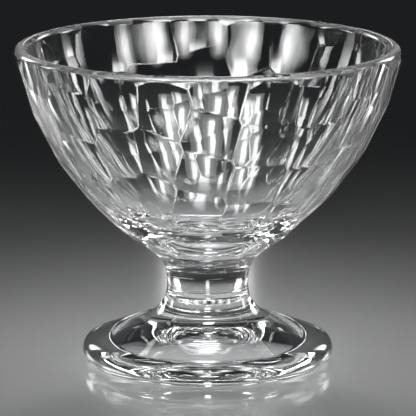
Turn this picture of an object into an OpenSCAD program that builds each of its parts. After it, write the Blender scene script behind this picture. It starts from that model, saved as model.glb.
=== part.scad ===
// Footed ice cream bowl in clear pressed glass: a faceted bowl on a short stem and a round foot.
// The three pieces are pressed apart and fused face to face. Z is up, and the origin is the
// middle of the foot's underside. Every piece is turned about Z from an outline of arcs.

/* [Bowl] */
// Diameter across the rim
rim_d = 115; // [100:0.5:130]
// Height of the bowl, from the top of the stem to the rim
bowl_h = 64.6; // [56:0.2:74]
// Radius of the side's curve, seen from the side
side_r = 92; // [84:0.5:104]
// Height of the plain upright band at the rim
rim_band = 5.9; // [4:0.1:8]
// Thickness of the side before the facets are cut
wall_t = 4.7; // [4.2:0.1:6]
// Thickness of the floor above the stem
floor_t = 7.6; // [5:0.1:11]
// Radius of the fillet that blends the side into the stem
neck_fillet = 11; // [7:0.5:14]

/* [Facets] */
// Columns of facets in half a turn, which the other half repeats. Each row gives the direction from
// the front, the angle of the top facet below level, the angle to the next facet, the lean, and how
// many facets the column has
facet_columns = [
    [-84, 16.3, 10.9, 0, 4],
    [-66, 11.5, 10, -0.15, 4],
    [-47, 8.8, 10, -0.15, 4],
    [-28.5, 15.5, 10.6, 0, 4],
    [-15.5, 16.2, 9.6, -0.45, 3],
    [1.5, 12, 9, -0.32, 4],
    [18, 14.4, 9.2, 0, 4],
    [38, 15.7, 9.2, 0, 4],
    [57, 11, 10, 0, 4],
    [76, 14.6, 10.6, 0, 4]
];
// Depth of the facets at the top of the side
rim_cut = 1.3; // [0.8:0.05:1.4]
// Depth of the facets at the bottom of the side
base_cut = 0.4; // [0.2:0.05:0.8]

/* [Stem] */
// Diameter of the stem's waist
stem_d = 24.4; // [18:0.2:30]
// Height of the stem, from the foot to the bowl
stem_h = 10.2; // [7:0.2:16]

/* [Foot] */
// Diameter of the foot
foot_d = 75.2; // [66:0.2:90]
// Height of the foot, from the table to the stem
foot_h = 21.4; // [19:0.2:26]
// Radius of the foot's round edge
edge_r = 4.3; // [3:0.1:5]
// Slope of the foot's top
foot_slope = 20; // [14:0.5:22]
// Radius of the flare between the foot's top and the stem
foot_flare = 10.3; // [7:0.1:12]
// Diameter of the hollow under the foot
hollow_d = 54; // [40:0.5:56]
// Height of the hollow under the foot
hollow_h = 6; // [3:0.1:8]

/* [Hidden] */
$fn = 144;
arc_steps = 24;
glass = [0.84, 0.89, 0.91, 0.6];

// Heights of the two fused faces and of the rim
foot_top = foot_h;
stem_top = foot_top + stem_h;
rim_z = stem_top + bowl_h;

// The side's curve runs from the stem's edge to the bottom of the rim band
rim_r = rim_d / 2;
stem_r = stem_d / 2;
side_low = [stem_r, stem_top];
side_high = [rim_r, rim_z - rim_band];
side_c = arc_centre(side_low, side_high, side_r);
inside_r = side_r - wall_t;

// The lip is a full round that touches the rim's diameter, its top and the inside
lip_span = rim_r - side_c.x + rim_z - side_c.y + inside_r;
lip_rest = (rim_r - side_c.x) ^ 2 + (rim_z - side_c.y) ^ 2 - inside_r ^ 2;
lip_r = lip_span - sqrt(lip_span ^ 2 - lip_rest);
lip_c = [rim_r - lip_r, rim_z - lip_r];

// The floor is a round bowl that runs smoothly into the inside
floor_z = stem_top + floor_t;
floor_drop = side_c.y - floor_z;
floor_r = (inside_r ^ 2 - side_c.x ^ 2 - floor_drop ^ 2) / (2 * (inside_r - floor_drop));
floor_c = [0, floor_z + floor_r];

// The fillet under the bowl touches the side's curve and the stem's waist
neck_x = stem_r + neck_fillet;
neck_c = [neck_x, side_c.y - sqrt((side_r + neck_fillet) ^ 2 - (neck_x - side_c.x) ^ 2)];

// The flare of the foot touches the sloping top and the stem's waist
edge_c = [foot_d / 2 - edge_r, edge_r];
slope_start = edge_c + edge_r * [sin(foot_slope), cos(foot_slope)];
flare_x = stem_r + foot_flare;
flare_line = slope_start.y + (slope_start.x - flare_x) * tan(foot_slope);
flare_c = [flare_x, flare_line + foot_flare / cos(foot_slope)];

// The hollow under the foot is a shallow round cap
hollow_r = hollow_d / 2;
hollow_curve = (hollow_r ^ 2 + hollow_h ^ 2) / (2 * hollow_h);
hollow_c = [0, hollow_h - hollow_curve];

// Direction of the front about Z, and the angle below level at which a leaning column stands in
// its own direction
front = 270;
lean_from = 20;

// Columns of the whole turn
all_columns = [for (half = [0, 180], c = facet_columns) [c[0] + half, c[1], c[2], c[3], c[4]]];

// Size and thickness of the block that cuts one facet
cutter_w = 40;
cutter_t = 4;

// Centre of the arc of radius r that bulges down and outward from low to high
function arc_centre(low, high, r) =
    let (d = high - low, half = norm(d) / 2)
    (low + high) / 2 + sqrt(r ^ 2 - half ^ 2) * [-d.y, d.x] / norm(d);

// Points of an arc about c, from the angle start to the angle end
function arc(c, r, start, end) =
    [for (i = [0:arc_steps]) let (a = start + (end - start) * i / arc_steps) c + r * [cos(a), sin(a)]];

// Direction from one point to another
function heading(from, to) = atan2(to.y - from.y, to.x - from.x);

// Angle on the inner side of a fillet about c, of radius r, at the height z
function waist_angle(c, r, z) = 180 - asin((z - c.y) / r);

module turned(outline) {
    rotate_extrude() polygon(outline);
}

// One block that takes a flat facet off the bowl, with its face angle degrees below level
module facet(turn, angle, depth) {
    rotate([0, 0, turn])
        translate([side_c.x, 0, side_c.y])
            rotate([0, angle, 0])
                translate([side_r - depth, -cutter_w / 2, -cutter_w / 2])
                    cube([cutter_t, cutter_w, cutter_w]);
}

// One column of facets, one above the other
module facet_column(column) {
    side_top = -heading(side_c, side_high);
    side_foot = -heading(side_c, neck_c);
    for (row = [0:column[4] - 1]) {
        below = column[1] + row * column[2];
        turn = front + column[0] + column[3] * (below - lean_from);
        depth = rim_cut + (base_cut - rim_cut) * (below - side_top) / (side_foot - side_top);
        facet(turn, below, depth);
    }
}

// The bowl before the facets are cut
module plain_bowl() {
    to_neck = heading(side_c, neck_c);
    to_lip = heading(side_c, lip_c);
    to_floor = heading(side_c, floor_c);
    turned(concat(
        [[0, stem_top]],
        arc(neck_c, neck_fillet, waist_angle(neck_c, neck_fillet, stem_top), to_neck + 180),
        arc(side_c, side_r, to_neck, heading(side_c, side_high)),
        arc(lip_c, lip_r, 0, to_lip + 180),
        arc(side_c, inside_r, to_lip, to_floor),
        arc(floor_c, floor_r, to_floor, -90)
    ));
}

// The bowl with the first columns of facets, which are cut one column after another
module cut_bowl(columns) {
    if (columns == 0) {
        plain_bowl();
    } else {
        difference() {
            cut_bowl(columns - 1);
            facet_column(all_columns[columns - 1]);
        }
    }
}

module bowl() {
    color(glass) cut_bowl(len(all_columns));
}

module stem() {
    color(glass) turned(concat(
        [[0, foot_top]],
        arc(flare_c, foot_flare, waist_angle(flare_c, foot_flare, foot_top), 180),
        arc(neck_c, neck_fillet, 180, waist_angle(neck_c, neck_fillet, stem_top)),
        [[0, stem_top]]
    ));
}

module foot() {
    color(glass) turned(concat(
        arc(hollow_c, hollow_curve, 90, heading(hollow_c, [hollow_r, 0])),
        arc(edge_c, edge_r, -90, 90 - foot_slope),
        arc(flare_c, foot_flare, 270 - foot_slope, waist_angle(flare_c, foot_flare, foot_top)),
        [[0, foot_top]]
    ));
}

bowl();
stem();
foot();
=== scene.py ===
from math import asin, atan2, cos, degrees, hypot, pi, radians, sin, sqrt, tan

import bmesh
import bpy
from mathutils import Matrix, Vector


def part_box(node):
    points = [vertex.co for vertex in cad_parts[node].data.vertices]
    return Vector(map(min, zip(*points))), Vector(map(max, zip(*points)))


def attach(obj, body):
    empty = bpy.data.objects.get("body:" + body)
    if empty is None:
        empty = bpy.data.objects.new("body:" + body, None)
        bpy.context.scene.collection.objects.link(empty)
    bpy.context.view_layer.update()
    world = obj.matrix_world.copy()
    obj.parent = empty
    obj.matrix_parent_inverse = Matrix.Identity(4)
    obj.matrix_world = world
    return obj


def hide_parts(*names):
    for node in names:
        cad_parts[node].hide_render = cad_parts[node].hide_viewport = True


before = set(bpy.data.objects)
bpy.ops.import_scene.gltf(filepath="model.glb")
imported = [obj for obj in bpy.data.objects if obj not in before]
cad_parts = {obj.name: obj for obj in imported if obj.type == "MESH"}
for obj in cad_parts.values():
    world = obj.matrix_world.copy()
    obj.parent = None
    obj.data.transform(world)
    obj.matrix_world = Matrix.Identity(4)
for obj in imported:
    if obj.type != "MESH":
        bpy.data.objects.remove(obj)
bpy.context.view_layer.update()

# Sizes in millimetres and angles in degrees, named as in the part's source.
# The heights and the foot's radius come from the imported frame.
MM = 0.001
RIM_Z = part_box("bowl")[1].z / MM
STEM_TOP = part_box("stem")[1].z / MM
FOOT_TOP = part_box("stem")[0].z / MM
FOOT_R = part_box("foot")[1].x / MM
RIM_R = 57.5
STEM_R = 12.2
SIDE_R = 92.0
RIM_BAND = 5.9
WALL_T = 4.7
FLOOR_T = 7.6
NECK_FILLET = 11.0
EDGE_R = 4.3
FOOT_SLOPE = 20.0
FOOT_FLARE = 10.3
HOLLOW_R = 27.0
HOLLOW_H = 6.0

# Columns of facets in half a turn, which the other half repeats: direction from the front, angle
# below level of the top facet, angle from one facet to the next, lean, and count of facets
FACET_COLUMNS = (
    (-84, 16.3, 10.9, 0.0, 4),
    (-66, 11.5, 10.0, -0.15, 4),
    (-47, 8.8, 10.0, -0.15, 4),
    (-28.5, 15.5, 10.6, 0.0, 4),
    (-15.5, 16.2, 9.6, -0.45, 3),
    (1.5, 12.0, 9.0, -0.32, 4),
    (18, 14.4, 9.2, 0.0, 4),
    (38, 15.7, 9.2, 0.0, 4),
    (57, 11.0, 10.0, 0.0, 4),
    (76, 14.6, 10.6, 0.0, 4),
)
# Angle below level at which a leaning column stands in its own direction
LEAN_FROM = 20.0
# Direction of the front about Z
FRONT = 270.0
# Depth of the facets at the top and at the bottom of the side
RIM_CUT = 1.3
BASE_CUT = 0.4
# Half width of the rounded ridges between facets, and steps across one
RIDGE_W = 0.4
RIDGE_STEPS = 3

# Fineness of the turned meshes: points in a turn, degrees in a step of an arc, fewest steps of an arc
SEGMENTS = 288
ARC_STEP = 1.2
MIN_ARC_STEPS = 6
# Distances at which a point counts as on the axis and as on a facet's plane
ON_AXIS = 1e-6
ON_PLANE = 1e-5


# Outlines, as (radius, height) points

def arc(c, r, start, end):
    """Points of an arc about c, from one angle to another, in degrees."""
    steps = max(MIN_ARC_STEPS, round(abs(end - start) / ARC_STEP))
    angles = [radians(start + (end - start) * i / steps) for i in range(steps + 1)]
    return [(c[0] + r * cos(a), c[1] + r * sin(a)) for a in angles]


def heading(start, end):
    """Direction from one point to another, in degrees."""
    return degrees(atan2(end[1] - start[1], end[0] - start[0]))


def waist_angle(c, r, z):
    """Angle on the inner side of a fillet about c, of radius r, at the height z."""
    return 180 - degrees(asin((z - c[1]) / r))


def arc_centre(low, high, r):
    """Centre of the arc of radius r that bulges down and outward from low to high."""
    dx, dy = high[0] - low[0], high[1] - low[1]
    d = hypot(dx, dy)
    rise = sqrt(r * r - d * d / 4) / d
    return (low[0] + high[0]) / 2 - dy * rise, (low[1] + high[1]) / 2 + dx * rise


# The side's curve runs from the stem's edge to the bottom of the rim band
side_high = (RIM_R, RIM_Z - RIM_BAND)
side_c = arc_centre((STEM_R, STEM_TOP), side_high, SIDE_R)
inside_r = SIDE_R - WALL_T

# The lip is a full round that touches the rim's radius, its top and the inside
lip_span = RIM_R - side_c[0] + RIM_Z - side_c[1] + inside_r
lip_rest = (RIM_R - side_c[0]) ** 2 + (RIM_Z - side_c[1]) ** 2 - inside_r ** 2
lip_r = lip_span - sqrt(lip_span ** 2 - lip_rest)
lip_c = (RIM_R - lip_r, RIM_Z - lip_r)

# The floor is a round bowl that runs smoothly into the inside
floor_z = STEM_TOP + FLOOR_T
floor_drop = side_c[1] - floor_z
floor_r = (inside_r ** 2 - side_c[0] ** 2 - floor_drop ** 2) / (2 * (inside_r - floor_drop))
floor_c = (0, floor_z + floor_r)

# The fillet under the bowl touches the side's curve and the stem's waist
neck_x = STEM_R + NECK_FILLET
neck_drop = sqrt((SIDE_R + NECK_FILLET) ** 2 - (neck_x - side_c[0]) ** 2)
neck_c = (neck_x, side_c[1] - neck_drop)

# The flare of the foot touches the sloping top and the stem's waist
edge_c = (FOOT_R - EDGE_R, EDGE_R)
slope = radians(FOOT_SLOPE)
slope_start = (edge_c[0] + EDGE_R * sin(slope), edge_c[1] + EDGE_R * cos(slope))
flare_x = STEM_R + FOOT_FLARE
flare_line = slope_start[1] + (slope_start[0] - flare_x) * tan(slope)
flare_c = (flare_x, flare_line + FOOT_FLARE / cos(slope))

# The hollow under the foot is a shallow round cap
hollow_curve = (HOLLOW_R ** 2 + HOLLOW_H ** 2) / (2 * HOLLOW_H)
hollow_c = (0, HOLLOW_H - hollow_curve)


def bowl_outline():
    """From the edge of the fused face up the outside, over the lip and down to the inside's middle."""
    to_neck = heading(side_c, neck_c)
    to_lip = heading(side_c, lip_c)
    to_floor = heading(side_c, floor_c)
    return (
        arc(neck_c, NECK_FILLET, waist_angle(neck_c, NECK_FILLET, STEM_TOP), to_neck + 180)
        + arc(side_c, SIDE_R, to_neck, heading(side_c, side_high))[1:]
        + arc(lip_c, lip_r, 0, to_lip + 180)
        + arc(side_c, inside_r, to_lip, to_floor)[1:]
        + arc(floor_c, floor_r, to_floor, -90)[1:]
    )


def stem_outline():
    """From the edge of the lower fused face to the edge of the upper one."""
    return (
        arc(flare_c, FOOT_FLARE, waist_angle(flare_c, FOOT_FLARE, FOOT_TOP), 180)
        + arc(neck_c, NECK_FILLET, 180, waist_angle(neck_c, NECK_FILLET, STEM_TOP))
    )


def foot_outline():
    """From the middle of the hollow, round the edge, to the edge of the fused face."""
    return (
        arc(hollow_c, hollow_curve, 90, heading(hollow_c, (HOLLOW_R, 0)))
        + arc(edge_c, EDGE_R, -90, 90 - FOOT_SLOPE)
        + arc(flare_c, FOOT_FLARE, 270 - FOOT_SLOPE, waist_angle(flare_c, FOOT_FLARE, FOOT_TOP))
    )


# Meshes, in millimetres

# Place of the fused joint among a piece's materials, after the clear glass
FUSED = 1


def turn_of_points(bm, r, z):
    """A ring of points about Z, or a single point on the axis."""
    if r < ON_AXIS:
        return [bm.verts.new((0, 0, z))]
    turns = [2 * pi * i / SEGMENTS for i in range(SEGMENTS)]
    return [bm.verts.new((r * cos(t), r * sin(t), z)) for t in turns]


def turned(outline):
    """A closed mesh turned about Z. A flat fused face closes an end that is off the axis."""
    bm = bmesh.new()
    rings = [turn_of_points(bm, r, z) for r, z in outline]
    for low, high in zip(rings, rings[1:]):
        for i in range(SEGMENTS):
            places = ((low, i), (low, i + 1), (high, i + 1), (high, i))
            corners = [ring[k % len(ring)] for ring, k in places]
            # On the axis two of the four corners are one point
            bm.faces.new(list(dict.fromkeys(corners)))
    for ring, turn_over in ((rings[0], True), (rings[-1], False)):
        if len(ring) > 1:
            cap = bm.faces.new(reversed(ring) if turn_over else ring)
            cap.material_index = FUSED
    for face in bm.faces:
        face.smooth = True
    return bm


def facet_planes():
    """A point and the outward normal of each facet's plane."""
    side_top, side_foot = -heading(side_c, side_high), -heading(side_c, neck_c)
    for half in (0, 180):
        for way, top, pitch, lean, count in FACET_COLUMNS:
            for row in range(count):
                below = top + pitch * row
                depth = RIM_CUT + (BASE_CUT - RIM_CUT) * (below - side_top) / (side_foot - side_top)
                turn = radians(FRONT + half + way + lean * (below - LEAN_FROM))
                angle = radians(below)
                normal = Vector((cos(angle) * cos(turn), cos(angle) * sin(turn), -sin(angle)))
                centre = Vector((side_c[0] * cos(turn), side_c[0] * sin(turn), side_c[1]))
                yield centre + normal * (SIDE_R - depth), normal


def cut_facets(bm):
    """Takes the flat facets off the outside and rounds the ridges between them."""
    planes = list(facet_planes())
    number = bm.faces.layers.int.new("facet")
    for i, (point, normal) in enumerate(planes, 1):
        cut = bmesh.ops.bisect_plane(
            bm, geom=bm.verts[:] + bm.edges[:] + bm.faces[:], dist=ON_PLANE,
            plane_co=point, plane_no=normal, clear_outer=True,
        )
        rim = [e for e in cut["geom_cut"] if isinstance(e, bmesh.types.BMEdge)]
        for face in bmesh.ops.edgeloop_fill(bm, edges=rim)["faces"]:
            face[number] = i
            face.smooth = False
    ridges = [e for e in bm.edges if all(face[number] for face in e.link_faces)]
    rounds = bmesh.ops.bevel(
        bm, geom=ridges, offset=RIDGE_W, offset_type="OFFSET", segments=RIDGE_STEPS, profile=0.5,
        affect="EDGES", clamp_overlap=False,
    )["faces"]
    for face in rounds:
        face.smooth = True
    for face in bm.faces:
        if not face.smooth:
            flatten(face, *planes[face[number] - 1])


def flatten(face, point, normal):
    """Puts a facet's corners back on its plane, and marks its edges as sharp."""
    for vert in face.verts:
        vert.co -= normal * normal.dot(vert.co - point)
    for edge in face.edges:
        edge.smooth = False


def piece(name, bm, materials):
    """An object in metres from a mesh in millimetres, in place of the CAD node of that name."""
    bmesh.ops.recalc_face_normals(bm, faces=bm.faces[:])
    bmesh.ops.scale(bm, vec=Vector((MM, MM, MM)), verts=bm.verts[:])
    for edge in bm.edges:
        if len({face.material_index for face in edge.link_faces}) > 1:
            edge.smooth = False
    mesh = bpy.data.meshes.new(name + "_glass")
    bm.to_mesh(mesh)
    bm.free()
    obj = bpy.data.objects.new(name + "_glass", mesh)
    for material in materials:
        mesh.materials.append(material)
    bpy.context.scene.collection.objects.link(obj)
    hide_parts(name)
    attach(obj, "root")
    return obj


# Materials

# Clear glass, and what each of its surfaces lets through of a lamp's light
GLASS_COLOR = (0.985, 0.992, 0.995, 1)
GLASS_IOR = 1.52
SHADOW_COLOR = (0.8, 0.81, 0.81, 1)
# The fire polish leaves slow ripples in the glass: scale and detail of their noise, height in metres
RIPPLE_NOISE = (80.0, 1.0)
RIPPLE_H = 0.0002
# It also leaves a faint haze in places: scale and detail of its noise, the noise at which it starts
# and is full, and the roughness without and with it
HAZE_NOISE = (45.0, 3.0)
HAZE_SPAN = (0.45, 0.75)
HAZE_ROUGHNESS = (0.0, 0.03)
# Pale polished stone, with the scale and detail of its wear and the roughness that comes of it
FLOOR_COLOR = (0.4, 0.4, 0.4, 1)
WEAR_NOISE = (9.0, 4.0)
WEAR_SPAN = (0.0, 1.0)
WEAR_ROUGHNESS = (0.1, 0.15)


def new_material(name):
    """A material with no nodes but its output, which comes last of what is returned."""
    material = bpy.data.materials.new(name)
    material.use_nodes = True
    nodes = material.node_tree.nodes
    nodes.clear()
    return material, nodes, material.node_tree.links, nodes.new("ShaderNodeOutputMaterial")


def noise(nodes, links, scale, detail):
    """The value of a noise that is fixed to the object."""
    place = nodes.new("ShaderNodeTexCoord")
    texture = nodes.new("ShaderNodeTexNoise")
    texture.inputs["Scale"].default_value = scale
    texture.inputs["Detail"].default_value = detail
    links.new(place.outputs["Object"], texture.inputs["Vector"])
    return texture.outputs["Fac"]


def vary_roughness(nodes, links, shader, value, span, roughness):
    """Takes a shader's roughness from its first to its second value as a noise crosses a span."""
    ramp = nodes.new("ShaderNodeMapRange")
    ramp.inputs["From Min"].default_value, ramp.inputs["From Max"].default_value = span
    ramp.inputs["To Min"].default_value, ramp.inputs["To Max"].default_value = roughness
    links.new(value, ramp.inputs["Value"])
    links.new(ramp.outputs["Result"], shader.inputs["Roughness"])


def glass_material():
    """Clear pressed glass. Lamps shine through it, so that its shadow is light."""
    material, nodes, links, out = new_material("clear_glass")
    glass = nodes.new("ShaderNodeBsdfPrincipled")
    glass.inputs["Base Color"].default_value = GLASS_COLOR
    glass.inputs["IOR"].default_value = GLASS_IOR
    glass.inputs["Transmission Weight"].default_value = 1.0
    vary_roughness(nodes, links, glass, noise(nodes, links, *HAZE_NOISE), HAZE_SPAN, HAZE_ROUGHNESS)

    bump = nodes.new("ShaderNodeBump")
    bump.inputs["Strength"].default_value = 1.0
    bump.inputs["Distance"].default_value = RIPPLE_H
    links.new(noise(nodes, links, *RIPPLE_NOISE), bump.inputs["Height"])
    links.new(bump.outputs["Normal"], glass.inputs["Normal"])

    through = nodes.new("ShaderNodeBsdfTransparent")
    through.inputs["Color"].default_value = SHADOW_COLOR
    path = nodes.new("ShaderNodeLightPath")
    mix = nodes.new("ShaderNodeMixShader")
    links.new(path.outputs["Is Shadow Ray"], mix.inputs[0])
    links.new(glass.outputs[0], mix.inputs[1])
    links.new(through.outputs[0], mix.inputs[2])
    links.new(mix.outputs[0], out.inputs["Surface"])
    return material


def fused_material():
    """The melted joint between two pieces, which light crosses unbent."""
    material, nodes, links, out = new_material("fused_joint")
    clear = nodes.new("ShaderNodeBsdfTransparent")
    links.new(clear.outputs[0], out.inputs["Surface"])
    return material


def floor_material():
    """Pale polished stone, with a gloss that changes slowly from place to place."""
    material, nodes, links, out = new_material("pale_floor")
    stone = nodes.new("ShaderNodeBsdfPrincipled")
    stone.inputs["Base Color"].default_value = FLOOR_COLOR
    vary_roughness(nodes, links, stone, noise(nodes, links, *WEAR_NOISE), WEAR_SPAN, WEAR_ROUGHNESS)
    links.new(stone.outputs[0], out.inputs["Surface"])
    return material


# Stage, lamps and camera, in metres and degrees

FLOOR_HALF = 3.0

# Point that the lamps are aimed at, and how far from it all but the low strip stand
AIM = Vector((0, 0, 0.06))
FAR = 0.63
# Softboxes: direction from +X, rise, distance, width, height, level and spread.
# Those high in front light everything.
HIGH_BOXES = (
    (236, 50, FAR, 0.24, 0.36, 16, 14),
    (304, 50, FAR, 0.24, 0.36, 16, 14),
)
# Those low in front light the glass alone, so that the floor doesn't mirror them
FRONT_BOXES = (
    (212, 20, FAR, 0.08, 0.34, 50, 20),
    (238, 20, FAR, 0.08, 0.34, 50, 20),
    (262, 20, FAR, 0.07, 0.34, 50, 20),
    (286, 20, FAR, 0.07, 0.34, 50, 20),
    (306, 20, FAR, 0.08, 0.34, 50, 20),
    (330, 20, FAR, 0.08, 0.34, 50, 20),
)
# A low strip close behind shines through the facets. It lights the bowl and the foot alone, because
# in the stem it would show as a blotch.
STRIPS = (
    (90, -12, 0.16, 0.02, 0.05, 0.9, 90),
)
# Those behind light the bowl, the foot and the floor, and leave the stem out for the same reason
BACK_BOXES = (
    (20, 17.6, FAR, 0.1, 0.44, 14, 26),
    (50, 17.6, FAR, 0.16, 0.44, 14, 26),
    (90, 17.6, FAR, 0.036, 0.44, 5, 26),
    (130, 17.6, FAR, 0.16, 0.44, 14, 26),
    (160, 17.6, FAR, 0.1, 0.44, 14, 26),
)
# One high behind lights the floor alone, mostly in front of the bowl
FLOOR_BOXES = (
    (90, 42, FAR, 0.14, 0.14, 90, 28),
)
# A box with soft sides is a nest of boxes: shares of the row's width, height and level
SOFT_SIDES = ((0.7, 0.8, 0.5), (1.4, 1.0, 0.3), (2.1, 1.2, 0.2))

SKY_COLOR = (0.9, 0.95, 1, 1)
SKY_LEVEL = 0.02

# The camera's place, its dip below level, and its lens and sensor in millimetres
CAMERA_PLACE = (0.0001, -1.4, 0.3271)
CAMERA_DIP = 11.32
LENS = 413.2
SENSOR = 36

# How often a ray may be bent or mirrored, enough to pass both walls of the bowl
BOUNCES = 32
GLOSSY_BOUNCES = 16
TRANSPARENT_BOUNCES = 64


def floor():
    """The square of floor that the bowl stands on."""
    half = FLOOR_HALF
    mesh = bpy.data.meshes.new("floor")
    corners = [(-half, -half, 0), (half, -half, 0), (half, half, 0), (-half, half, 0)]
    mesh.from_pydata(corners, [], [(0, 1, 2, 3)])
    mesh.materials.append(floor_material())
    obj = bpy.data.objects.new("floor", mesh)
    bpy.context.scene.collection.objects.link(obj)
    return obj


def soft_sided(rows):
    """Rows of nested boxes in place of each row."""
    return [
        (turn, rise, far, width * wide, height * high, level * share, spread)
        for turn, rise, far, width, height, level, spread in rows
        for wide, high, share in SOFT_SIDES
    ]


def softbox(turn, rise, far, width, height, level, spread):
    """A lamp aimed at the bowl that looks level times as bright as white from there."""
    turn, rise, half = radians(turn), radians(rise), radians(spread / 2)
    way = Vector((cos(turn) * cos(rise), sin(turn) * cos(rise), sin(rise)))
    # Blender makes a lamp this much brighter along its middle as its spread narrows
    focus = tan(half) / (tan(half) - half)
    lamp = bpy.data.lights.new("softbox", "AREA")
    lamp.shape = "RECTANGLE"
    lamp.size, lamp.size_y = width, height
    lamp.energy = level * pi * width * height / focus
    lamp.spread = 2 * half
    obj = bpy.data.objects.new("softbox", lamp)
    obj.visible_camera = False
    obj.location = AIM + far * way
    obj.rotation_euler = way.to_track_quat("Z", "Y").to_euler()
    bpy.context.scene.collection.objects.link(obj)
    return obj


def light_only(rows, objects):
    """Softboxes that light only the given objects."""
    lit = bpy.data.collections.new("lit")
    for obj in objects:
        lit.objects.link(obj)
    for row in rows:
        softbox(*row).light_linking.receiver_collection = lit


def lights(bowl, stem, foot, ground):
    """The softboxes and a dim sky."""
    for row in HIGH_BOXES:
        softbox(*row)
    light_only(soft_sided(FRONT_BOXES), (bowl, stem, foot))
    light_only(soft_sided(STRIPS), (bowl, foot))
    light_only(BACK_BOXES, (bowl, foot, ground))
    light_only(FLOOR_BOXES, (ground,))
    world = bpy.data.worlds.new("studio")
    world.use_nodes = True
    sky = world.node_tree.nodes["Background"]
    sky.inputs["Color"].default_value = SKY_COLOR
    sky.inputs["Strength"].default_value = SKY_LEVEL
    bpy.context.scene.world = world


def camera():
    """The camera at the photograph's angle."""
    data = bpy.data.cameras.new("camera")
    data.sensor_width = SENSOR
    data.lens = LENS
    obj = bpy.data.objects.new("camera", data)
    obj.location = CAMERA_PLACE
    obj.rotation_euler = (radians(90 - CAMERA_DIP), 0, 0)
    bpy.context.scene.collection.objects.link(obj)
    bpy.context.scene.camera = obj


# The scene

scene = bpy.context.scene
scene.view_settings.view_transform = "Standard"
scene.cycles.max_bounces = BOUNCES
scene.cycles.transmission_bounces = BOUNCES
scene.cycles.glossy_bounces = GLOSSY_BOUNCES
scene.cycles.transparent_max_bounces = TRANSPARENT_BOUNCES

finish = [glass_material(), fused_material()]
bowl_mesh = turned(bowl_outline())
cut_facets(bowl_mesh)
bowl = piece("bowl", bowl_mesh, finish)
stem = piece("stem", turned(stem_outline()), finish)
foot = piece("foot", turned(foot_outline()), finish)
lights(bowl, stem, foot, floor())
camera()
